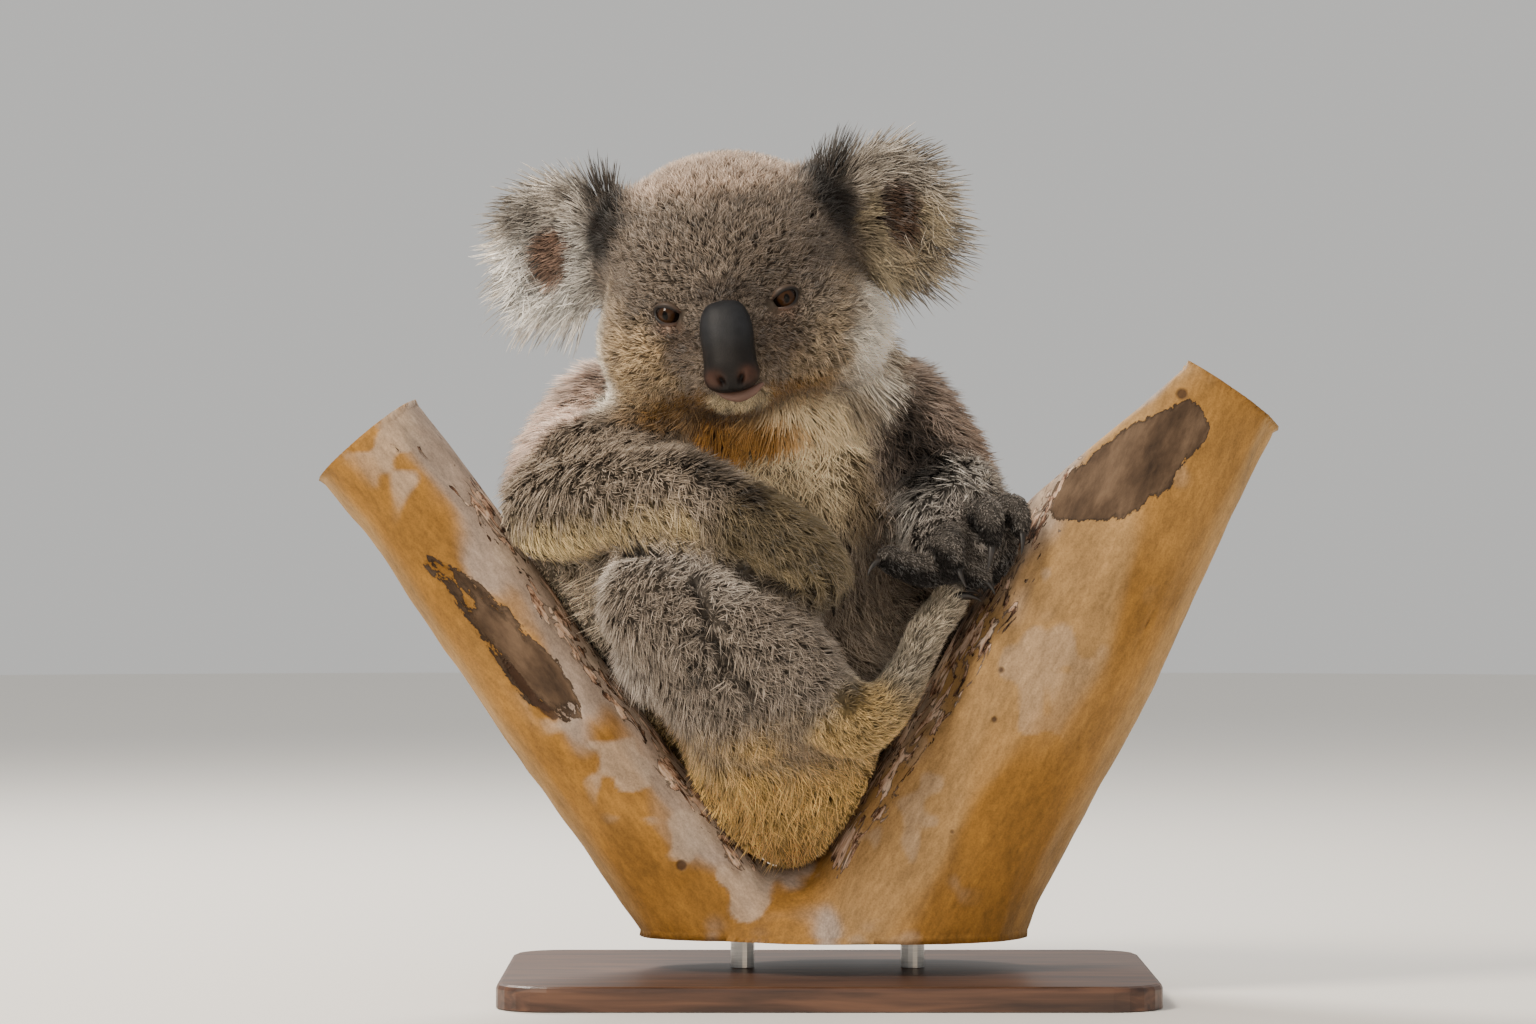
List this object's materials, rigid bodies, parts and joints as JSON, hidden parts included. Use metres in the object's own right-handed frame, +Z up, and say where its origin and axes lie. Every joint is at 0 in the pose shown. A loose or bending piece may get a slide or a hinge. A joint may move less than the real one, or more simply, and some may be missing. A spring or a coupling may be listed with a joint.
{
  "type": "koala model",
  "caption": "Still, life-size koala sitting in a forked eucalyptus perch, one hand and one foot on the limb, on a plain wooden display stand.",
  "frame": {"origin": "middle of the stand's underside", "axes": "+Z up, the animal looks along -Y, and its right side is at -X"},
  "size_m": [0.5658, 0.2675, 0.5056],
  "materials": {
    "coat": "dense grey-brown woolly fur, cream on the chest, rump and ear fringes",
    "nose": "pebbled charcoal nose leather, satin",
    "eye": "wet amber-brown iris with a dark upright slit pupil",
    "claw": "dark horn, satin",
    "bark": "smooth ochre and cream gum bark with dark scars, sawn ends",
    "stand_wood": "dark stained hardwood, satin",
    "stand_steel": "brushed rod"
  },
  "bodies": {
    "root": {"head": "coat", "left_ear": "coat", "left_eye": "eye", "left_foot": "coat", "left_foot_claw_1": "claw", "left_foot_claw_2": "claw", "left_foot_claw_3": "claw", "left_foot_claw_4": "claw", "left_forearm": "coat", "left_hand": "coat", "left_hand_claw_1": "claw", "left_hand_claw_2": "claw", "left_hand_claw_3": "claw", "left_hand_claw_4": "claw", "left_hand_claw_5": "claw", "left_shin": "coat", "left_thigh": "coat", "left_upper_arm": "coat", "neck": "coat", "nose": "nose", "perch_left_limb": "bark", "perch_right_limb": "bark", "perch_trunk": "bark", "right_ear": "coat", "right_eye": "eye", "right_foot": "coat", "right_foot_claw_1": "claw", "right_foot_claw_2": "claw", "right_foot_claw_3": "claw", "right_foot_claw_4": "claw", "right_forearm": "coat", "right_hand": "coat", "right_hand_claw_1": "claw", "right_hand_claw_2": "claw", "right_hand_claw_3": "claw", "right_hand_claw_4": "claw", "right_hand_claw_5": "claw", "right_shin": "coat", "right_thigh": "coat", "right_upper_arm": "coat", "stand_base": "stand_wood", "stand_rod_1": "stand_steel", "stand_rod_2": "stand_steel", "trunk": "coat"}
  },
  "joints": []
}
